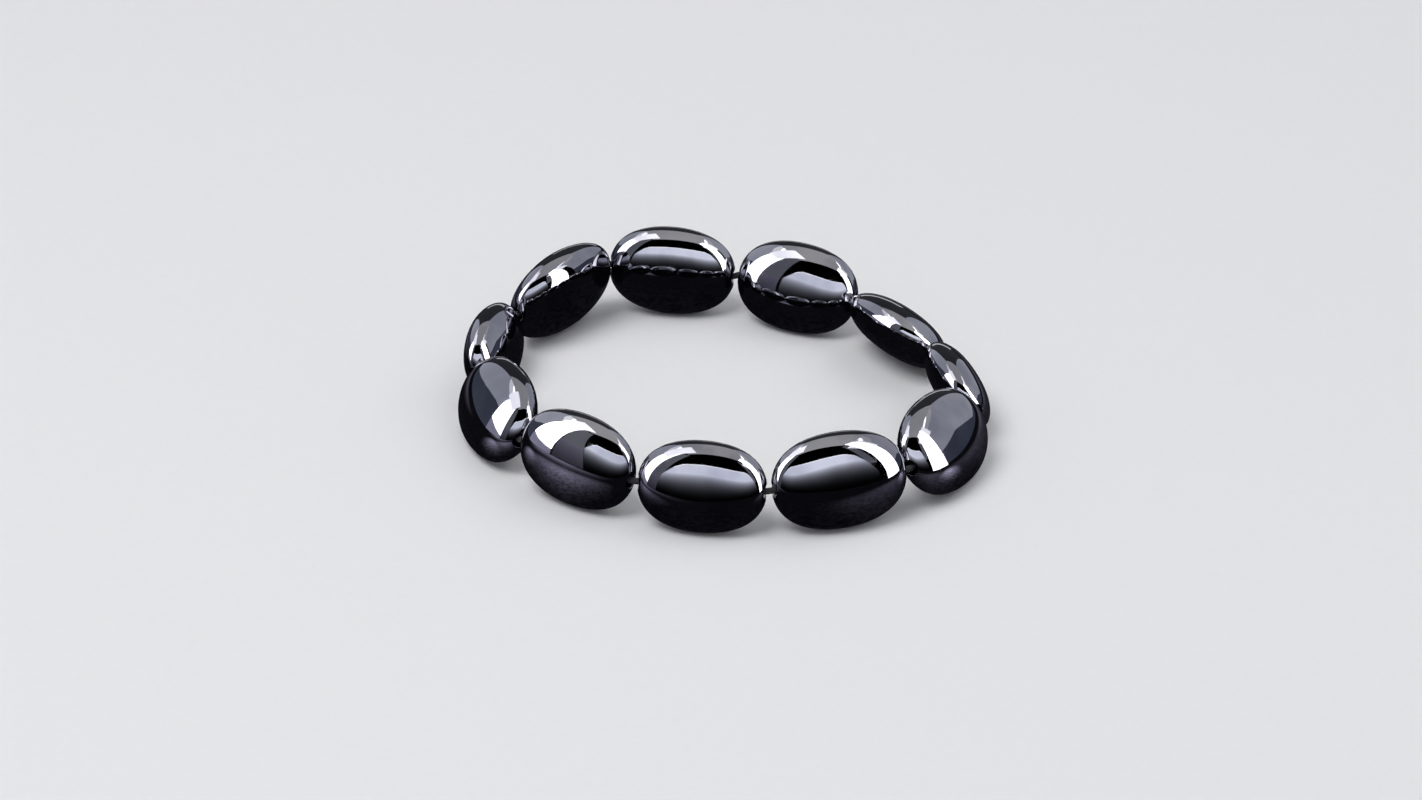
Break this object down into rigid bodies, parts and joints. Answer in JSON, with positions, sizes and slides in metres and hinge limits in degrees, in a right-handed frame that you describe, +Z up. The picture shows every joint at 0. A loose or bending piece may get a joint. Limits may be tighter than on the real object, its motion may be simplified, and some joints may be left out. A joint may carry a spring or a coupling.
{
  "type": "beaded stretch bracelet",
  "caption": "Stretch bracelet of polished dark metallic oval beads threaded end to end in a closed loop, lying on its side.",
  "frame": {"origin": "middle of the loop's footprint, on the surface that the bracelet lies on", "axes": "+Z up through the wrist opening, +X to the right and -Y to the front as the picture shows it"},
  "size_m": [0.073, 0.0669, 0.0131],
  "materials": {
    "bead": "hematite, mirror polished, dark metallic grey",
    "cord": "black fibre elastic, matte"
  },
  "bodies": {
    "root": {"bead_01": "bead", "bead_02": "bead", "bead_03": "bead", "bead_04": "bead", "bead_05": "bead", "bead_06": "bead", "bead_07": "bead", "bead_08": "bead", "bead_09": "bead", "bead_10": "bead", "bead_11": "bead", "stretch_cord": "cord"}
  },
  "joints": []
}
